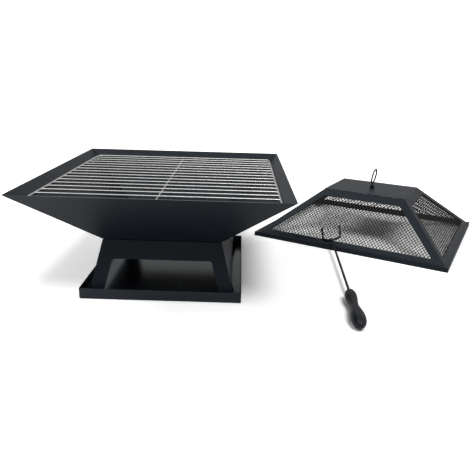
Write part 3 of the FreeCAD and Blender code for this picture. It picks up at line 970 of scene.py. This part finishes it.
@dataclass
class MeshLid:
    """Low pyramid of four mesh-filled frames under a flat plate, lying beside the pit."""

    thread: Fastener
    half: float = 0.2095
    flange: float = 0.0075
    lip: float = 0.0105
    head_half: float = 0.078
    height: float = 0.1155
    sheet: float = 0.001
    bottom_rail: float = 0.0122
    top_rail: float = 0.023
    hip_rail: float = 0.017
    fold: float = 0.0008
    edge: float = 0.0002
    plate_edge: float = 0.0001
    mesh_lap: float = 0.007
    mesh_sheet: float = 0.0007
    mesh_crown: float = 0.0002
    cell_width: float = 0.008
    cell_height: float = 0.010
    strand: float = 0.0016
    turn: float = -28.8

    @property
    def slope_half(self) -> float:
        """Half width of the lid where its slopes meet the flange."""
        return self.half - self.flange

    @property
    def slope(self) -> Vector:
        """From the front slope's foot at the flange to its head at the plate, in the lid's own frame."""
        return Vector((0, self.slope_half - self.head_half, self.height - self.lip))

    @property
    def up(self) -> Vector:
        """Direction up the front slope, in the lid's own frame; its Y is also how fast its sides close in."""
        return self.slope.normalized()

    @property
    def out(self) -> Vector:
        """Direction out of the front slope, in the lid's own frame."""
        return Vector((0, -self.up.z, self.up.y))

    @property
    def place(self) -> Matrix:
        """Where the lid lies, read from its packed top plate."""
        low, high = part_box("lid_top_plate")
        return Matrix.Translation(((low.x + high.x) / 2, (low.y + high.y) / 2, 0)) @ about_z(self.turn)

    def on_slope(self, along: float, up: float, out: float, extra: Extra) -> Vector:
        """A point over the front slope: along its foot, up it, and out from its outer face."""
        return Vector((along, -self.slope_half - extra[1], self.lip)) + self.up * up + self.out * out

    def slope_half_at(self, level: float) -> float:
        """Half width between the outer faces of the slopes at a height."""
        return self.slope_half - self.slope.y / self.slope.z * (level - self.lip)

    def hip_cuts(self, rail: float, extra: Extra) -> list[tuple[Vector, Vector]]:
        """A point on each hip rail's inner edge, on the front slope, and the way out across it.

        Args:
            rail: The rails' width, square to the hips.
            extra: What the plan's two half widths add to the lid's.

        Returns:
            The left and the right rail's point and direction.
        """
        foot = self.slope_half + extra[0] - rail * math.hypot(1, self.up.y)
        cuts = []
        for side in (-1, 1):
            edge = self.up - Vector((side * self.up.y, 0, 0))
            cuts.append((self.on_slope(side * foot, 0, 0, extra), edge.cross(self.out * side).normalized()))
        return cuts

    def build_frame(self, name: str, extra: Extra) -> Object:
        """The frame at the front, with its part of the flange and the lip, in the lid's own frame.

        Args:
            name: The frame's name.
            extra: What the plan's two half widths add to the lid's.

        Returns:
            The frame.
        """
        top = self.height - self.sheet
        panel = front_sheet(name, ring_at(self.slope_half, self.lip, extra),
                            ring_at(self.slope_half_at(top), top, extra))
        window_top = self.slope.length - self.top_rail
        middle = self.on_slope(0, (self.bottom_rail + window_top) / 2, 0, extra)
        edge_half = self.half + extra[0]
        with editing(panel):
            for point, way in self.hip_cuts(self.hip_rail, extra):
                cut(panel, point, way)
            for level in (self.bottom_rail, window_top):
                cut(panel, self.on_slope(0, level, 0, extra), self.up)
            pick(panel, Element.FACE, lambda place, way: (place - middle).length < self.top_rail)
            bpy.ops.mesh.delete(type="FACE")
            pick(panel, Element.EDGE, at_level(self.lip))
            extrude((0, -self.flange, 0))
            scale_about((0, 0, self.lip), (edge_half / (edge_half - self.flange), 1, 1))
            extrude((0, 0, -self.lip))
            pick(panel, Element.EDGE,
                 lambda place, way: abs(place.z - self.lip) < NEAR and abs(way.x) > MOSTLY)
            bevel(self.fold)
        thicken(panel, self.sheet)
        with editing(panel):
            trim_mitres(panel, extra)
        soften(panel, self.edge)
        return panel

    def build_mesh(self, name: str, extra: Extra) -> Object:
        """The front slope's expanded metal, in the lid's own frame: a lattice of diamond openings.

        Args:
            name: The mesh's name.
            extra: What the plan's two half widths add to the lid's.

        Returns:
            The mesh.
        """
        columns = math.ceil(2 * (self.slope_half + extra[0]) / self.cell_width)
        rows = math.ceil(self.slope.length / self.cell_height)
        count = columns + rows
        bpy.ops.mesh.primitive_grid_add(x_subdivisions=count, y_subdivisions=count, size=count / math.sqrt(2),
                                        rotation=(0, 0, math.radians(45)))
        mesh = added(name)
        moved(mesh, Matrix.Diagonal((self.cell_width, self.cell_height, 1, 1)))
        lattice = len(mesh.data.vertices)
        with editing(mesh):
            pick_all(mesh)
            bpy.ops.mesh.inset(thickness=self.strand / 2, use_individual=True, use_even_offset=True)
            bpy.ops.mesh.delete(type="FACE")
        for vert in mesh.data.vertices[:lattice]:
            vert.co.z += self.mesh_crown
        middle = self.on_slope(0, self.slope.length / 2, -self.sheet - self.mesh_crown, extra)
        moved(mesh, axes_at(middle, Vector((1, 0, 0)), self.up, self.out))
        low, high = self.bottom_rail - self.mesh_lap, self.slope.length - self.top_rail + self.mesh_lap
        with editing(mesh):
            cut(mesh, self.on_slope(0, low, 0, extra), -self.up, trim=True)
            cut(mesh, self.on_slope(0, high, 0, extra), self.up, trim=True)
            for point, way in self.hip_cuts(self.hip_rail - self.mesh_lap, extra):
                cut(mesh, point, way, trim=True)
        thicken(mesh, self.mesh_sheet)
        return mesh

    def build_top(self, paint: Material) -> None:
        """Model and dress the top plate."""
        half = self.slope_half_at(self.height - self.sheet)
        plate = sheet_on("lid_top_sheet", ring_at(half, self.height, LID_EXTRA))
        thicken(plate, self.sheet)
        pierce(plate, [(0, 0, self.height)], self.thread.hole)
        soften(plate, self.plate_edge, segments=1)
        dress(moved(plate, self.place), paint, Body.LID, Slot.PAINT, "lid_top_plate")

    def build(self, paint: Material, mesh_paint: Material) -> None:
        """Model the four sides, turn each to its place and dress it, then add the top plate."""
        for side, turn, extra in each_side(LID_EXTRA):
            place = self.place @ about_z(turn)
            panel = moved(self.build_frame(f"lid_{side}_sheet", extra), place)
            dress(panel, paint, Body.LID, Slot.PAINT, f"lid_frame_{side}")
            mesh = moved(self.build_mesh(f"lid_{side}_mesh", extra), place)
            dress(mesh, mesh_paint, Body.LID, Slot.MESH, f"lid_mesh_{side}")
        self.build_top(paint)


@dataclass
class LiftingEye:
    """Open wire ring on a threaded stud through a lid's top plate, with its nuts and washer."""

    lid: MeshLid
    stud_rise: float = 0.012
    wire: float = 0.0019
    wire_edge: float = 0.0004
    ring_radius: float = 0.0185
    opening: float = 38.0
    lean: float = 7.0
    spare_thread: float = 0.002

    def build(self, steel: Material) -> None:
        """Model and dress the eye and its fasteners on the lid."""
        lid, thread = self.lid, self.lid.thread
        lock_base = lid.height - lid.sheet - thread.nut_height
        foot = lock_base - self.spare_thread
        top = lid.height + self.stud_rise
        stud = thread.build_thread("stud", (0, 0, foot), top - foot)
        eye = joined([self.build_ring(top), stud], "lid_ring")
        washer = thread.build_washer("lid_ring_washer", (0, 0, lid.height))
        nut = thread.build_nut("lid_ring_nut", (0, 0, lid.height + thread.washer_sheet))
        lock_nut = thread.build_nut("lid_ring_lock_nut", (0, 0, lock_base))
        for piece, replaced in ((eye, "lid_eye"), (washer, "lid_eye_washer"), (nut, "lid_eye_nut"),
                                (lock_nut, "lid_eye_lock_nut")):
            dress(moved(piece, lid.place), steel, Body.LID, Slot.STEEL, replaced)

    def build_ring(self, base: float) -> Object:
        """The ring: a wire circle spun round from the stud's top, leaning to one side."""
        bpy.ops.mesh.primitive_circle_add(vertices=16, radius=self.wire, fill_type="NGON",
                                          location=(0, 0, base), rotation=(math.pi / 2, 0, 0))
        ring = added("ring")
        sweep = math.radians(360 - self.opening)
        with editing(ring):
            pick_all(ring)
            bpy.ops.mesh.spin(steps=56, angle=sweep, center=(0, 0, base + self.ring_radius), axis=(-1, 0, 0))
            pick_all(ring)
            bpy.ops.mesh.remove_doubles(threshold=NEAR)
            bpy.ops.mesh.normals_make_consistent(inside=False)
        soften(ring, self.wire_edge)
        pivot = Matrix.Translation((0, 0, base))
        return moved(ring, pivot @ Matrix.Rotation(math.radians(self.lean), 4, "Y") @ pivot.inverted())


# ---- poker ----

@dataclass
class Poker:
    """Two-pronged poker: its fork lies on a lid's front slope and its handle on the ground."""

    lid: MeshLid
    length: float = 0.415
    rod: float = 0.0024
    heading: float = 3.0
    tang: float = 0.060
    along_lid: float = -0.0335
    up_slope: float = 0.013
    mesh_gap: float = 0.0006
    fork_half: float = 0.0205
    fork_length: float = 0.040
    fork_corner: float = 0.011
    point: float = 0.007
    point_tip: float = 0.12
    point_belly: float = 1.12
    barb: float = 0.005
    weld_end: float = 0.004
    weld_fade: float = 0.009
    weld_swell: float = 1.15
    rod_edge: float = 0.0003
    handle: float = 0.128
    stations: tuple[float, ...] = (0.0, 0.16, 0.42, 0.77, 1.0)
    radii: tuple[float, ...] = (0.005, 0.0107, 0.0078, 0.0126, 0.0)
    nose_power: float = 2.4
    heel_powers: tuple[float, float] = (2.5, 0.55)
    rings: int = 64
    last_ring: float = 0.9995

    def build(self, steel: Material, plastic: Material) -> None:
        """Model and dress the poker, laid on the lid."""
        lid = self.lid
        foot = lid.place @ lid.on_slope(self.along_lid, self.up_slope, self.rod + self.mesh_gap, LID_EXTRA)
        normal = lid.place.to_3x3() @ lid.out
        turn = math.radians(self.heading)
        heading = Vector((math.sin(turn), math.cos(turn), 0))
        grip = max(self.radii)
        reach = self.length - self.handle * (1 - self.stations[self.radii.index(grip)])
        rise = math.asin(foot.z / math.hypot(reach, grip)) - math.atan2(grip, reach)
        axis = heading * math.cos(rise) + Vector((0, 0, math.sin(rise)))
        climb = math.atan2(-normal.dot(heading), normal.z)
        fork_axis = heading * math.cos(climb) + Vector((0, 0, math.sin(climb)))
        fork = moved(self.build_fork(), axes_at(foot, fork_axis.cross(normal), fork_axis, normal))
        dress(fork, steel, Body.POKER, Slot.STEEL, "poker_fork")
        rod_place = pointing(foot, -axis)
        rod = moved(self.build_rod(), rod_place)
        dress(rod, steel, Body.POKER, Slot.STEEL, "poker_rod")
        handle = moved(self.build_handle(), rod_place @ Matrix.Translation((0, 0, self.length - self.handle)))
        dress(handle, plastic, Body.POKER, Slot.PLASTIC, "poker_handle")

    def build_fork(self) -> Object:
        """The fork, flat in its own frame: prongs up Y, its foot at the origin."""
        half, shoulder = self.fork_half, self.fork_length - self.point
        corners = [(-half, shoulder, 0), (-half, 0, 0), (half, 0, 0), (half, shoulder, 0)]
        parts = [wire_along("poker_prongs", corners, self.fork_corner, self.rod, closed=False)]
        for prong in (corners[0], corners[3]):
            parts.append(self.build_spike(prong, Vector((0, 1, 0)), self.point))
            parts.append(self.build_spike(prong, Vector((-1, -1, 0)), self.barb + self.rod))
        return joined(parts, "poker_prongs")

    def build_spike(self, base: Point, way: Vector, length: float) -> Object:
        """Round spike from a base point, with a slightly blunt tip."""
        middle = (0, 0, length / 2)
        bpy.ops.mesh.primitive_cone_add(vertices=20, radius1=self.rod, radius2=self.point_tip * self.rod,
                                        depth=length, location=middle)
        spike = added("spike")
        with editing(spike):
            cut(spike, middle, (0, 0, 1))
            pick(spike, Element.VERT, at_level(length / 2))
            scale_about(middle, (self.point_belly, self.point_belly, 1))
        smooth(spike, WIRE_ANGLE)
        return moved(spike, pointing(base, way))

    def build_rod(self) -> Object:
        """The rod, along +Z in its own frame, with a rounded weld where it meets the fork."""
        end = self.length - self.handle + self.tang
        rod = bar("poker_shaft", self.rod, end, (0, 0, end / 2), sides=24)
        with editing(rod):
            for level in (self.weld_end, self.weld_fade):
                cut(rod, (0, 0, level), (0, 0, 1))
            pick(rod, Element.VERT, lambda place, way: place.z < self.weld_end + NEAR)
            scale_about((0, 0, 0), (self.weld_swell, self.weld_swell, 1))
        soften(rod, self.rod_edge)
        return rod

    def handle_radius(self, share: float) -> float:
        """Radius of the handle at a share of its length, smooth between its stations."""
        steps = list(zip(self.stations, self.radii))
        for (start, low), (end, high) in zip(steps, steps[1:]):
            if share <= end:
                t = (share - start) / (end - start)
                if start == 0.0:
                    return low + (high - low) * math.sqrt(1 - (1 - t) ** self.nose_power)
                if end == 1.0:
                    return low * (1 - t ** self.heel_powers[0]) ** self.heel_powers[1]
                return low + (high - low) * t * t * (3 - 2 * t)
        return 0.0

    def build_handle(self) -> Object:
        """The handle, turned along +Z in its own frame ring by ring, its rings closer at the ends."""
        bpy.ops.mesh.primitive_circle_add(vertices=48, radius=self.radii[0], fill_type="NGON")
        handle = added("poker_grip")
        shares = [0.5 * (1 - math.cos(math.pi * ring / self.rings)) for ring in range(self.rings)]
        shares.append(self.last_ring)
        with editing(handle):
            pick_all(handle)
            for below, above in zip(shares, shares[1:]):
                extrude((0, 0, (above - below) * self.handle))
                factor = self.handle_radius(above) / self.handle_radius(below)
                scale_about((0, 0, above * self.handle), (factor, factor, 1))
            pick_all(handle)
            bpy.ops.mesh.normals_make_consistent(inside=False)
        smooth(handle, HANDLE_ANGLE)
        return handle


# ---- studio ----

@dataclass(frozen=True)
class Lamp:
    """One soft distant light."""

    name: str
    place: Point
    strength: float
    spread: float

    def build(self) -> None:
        """Hang the lamp and turn it to the object."""
        light = bpy.data.lights.new(self.name, "SUN")
        light.energy = self.strength
        light.angle = math.radians(self.spread)
        stand = bpy.data.objects.new(self.name, light)
        bpy.context.scene.collection.objects.link(stand)
        stand.rotation_mode = "QUATERNION"
        stand.rotation_quaternion = (-Vector(self.place)).to_track_quat("-Z", "Y")


FRONT_LAMP = Lamp("front_softbox", place=(0.44, -1.06, 1.9), strength=1.62, spread=24)
SIDE_LAMP = Lamp("side_softbox", place=(-1.2, 0.08, 1.48), strength=1.15, spread=26)


@dataclass
class Studio:
    """Pale floor, soft light and camera."""

    camera_place: Point = (0.13463, -0.98279, 0.39252)
    yaw: float = -0.0051
    pitch: float = 0.3129
    roll: float = -0.0280
    focal_share: float = 1.072553
    sensor: float = 36.0
    floor_size: float = 60.0
    sky_light: float = 0.25
    mirrored_front: float = 0.3
    mirrored_back: float = 0.48
    mirrored_high: float = 0.55
    front_to_back: tuple[float, float] = (-0.5, 0.5)
    low_to_high: tuple[float, float] = (0.2, 0.8)
    floor_colour: float = 0.8
    seen_floor_colour: float = 1.66

    def build(self) -> None:
        """Set up the world, the floor, the lamps and the camera."""
        scene = bpy.context.scene
        scene.view_settings.view_transform = "Standard"
        self.build_world(scene)
        self.build_floor()
        FRONT_LAMP.build()
        SIDE_LAMP.build()
        self.build_camera(scene)

    def build_world(self, scene: Scene) -> None:
        """White where it is seen, greyer where it is mirrored, most so low in front, and faint as a light."""
        scene.world = bpy.data.worlds.new("studio")
        tree = cleared(scene.world)
        rays = node(tree, "ShaderNodeLightPath").outputs
        way = node(tree, "ShaderNodeTexCoord").outputs["Generated"]
        parts = node(tree, "ShaderNodeSeparateXYZ", {0: way}).outputs
        low = ranged(tree, parts["Y"], *self.front_to_back, self.mirrored_front, self.mirrored_back)
        mirrored = ranged(tree, parts["Z"], *self.low_to_high, low, self.mirrored_high)
        shiny = maths(tree, "MAXIMUM", rays["Is Glossy Ray"], rays["Is Transmission Ray"])
        strength = ranged(tree, shiny, 0.0, 1.0, self.sky_light, mirrored)
        strength = ranged(tree, rays["Is Camera Ray"], 0.0, 1.0, strength, 1.0)
        light = node(tree, "ShaderNodeBackground", {"Color": (1, 1, 1, 1), "Strength": strength})
        node(tree, "ShaderNodeOutputWorld", {"Surface": light.outputs[0]})

    def build_floor(self) -> None:
        """A wide pale floor that shows white where no shadow falls."""
        bpy.ops.mesh.primitive_plane_add(size=self.floor_size)
        floor = added("studio_floor")
        material = bpy.data.materials.new("pale_floor")
        tree = cleared(material)
        seen = node(tree, "ShaderNodeLightPath").outputs["Is Camera Ray"]
        colour = ranged(tree, seen, 0.0, 1.0, self.floor_colour, self.seen_floor_colour)
        shader = node(tree, "ShaderNodeBsdfDiffuse", {"Color": colour})
        node(tree, "ShaderNodeOutputMaterial", {"Surface": shader.outputs[0]})
        floor.data.materials.append(material)

    def build_camera(self, scene: Scene) -> None:
        """A camera a little above the rim of the bowl, turned by yaw, pitch and roll in radians."""
        ahead = Vector((math.sin(self.yaw), math.cos(self.yaw), 0))
        forward = ahead * math.cos(self.pitch) - Vector((0, 0, math.sin(self.pitch)))
        right = Vector((ahead.y, -ahead.x, 0))
        down = forward.cross(right)
        across = right * math.cos(self.roll) + down * math.sin(self.roll)
        below = down * math.cos(self.roll) - right * math.sin(self.roll)
        lens = bpy.data.cameras.new("camera")
        lens.sensor_width = self.sensor
        lens.lens = self.focal_share * self.sensor
        lens.clip_start = 0.01
        camera = bpy.data.objects.new("camera", lens)
        scene.collection.objects.link(camera)
        camera.matrix_world = axes_at(self.camera_place, across, -below, -forward)
        scene.camera = camera


def main() -> None:
    """Build the object and the studio; the imported parts that the pieces stand for stay in the scene,
    hidden.
    """
    logging.basicConfig(level=logging.INFO, format="%(message)s")
    effects = Effects()
    finishes = (PAINT, TRAY_PAINT, MESH_PAINT, CHROME, ZINC, DARK_STEEL, PLASTIC)
    paint, tray_paint, mesh_paint, chrome, zinc, steel, plastic = (kind.build(effects) for kind in finishes)
    thread = Fastener()
    stand, lid = Stand(thread), MeshLid(thread)
    AshTray().build(tray_paint)
    stand.build(paint)
    FireBowl(stand).build(paint, zinc)
    Grate().build(chrome)
    lid.build(paint, mesh_paint)
    LiftingEye(lid).build(steel)
    Poker(lid).build(steel, plastic)
    Studio().build()


if __name__ == "__main__":
    main()
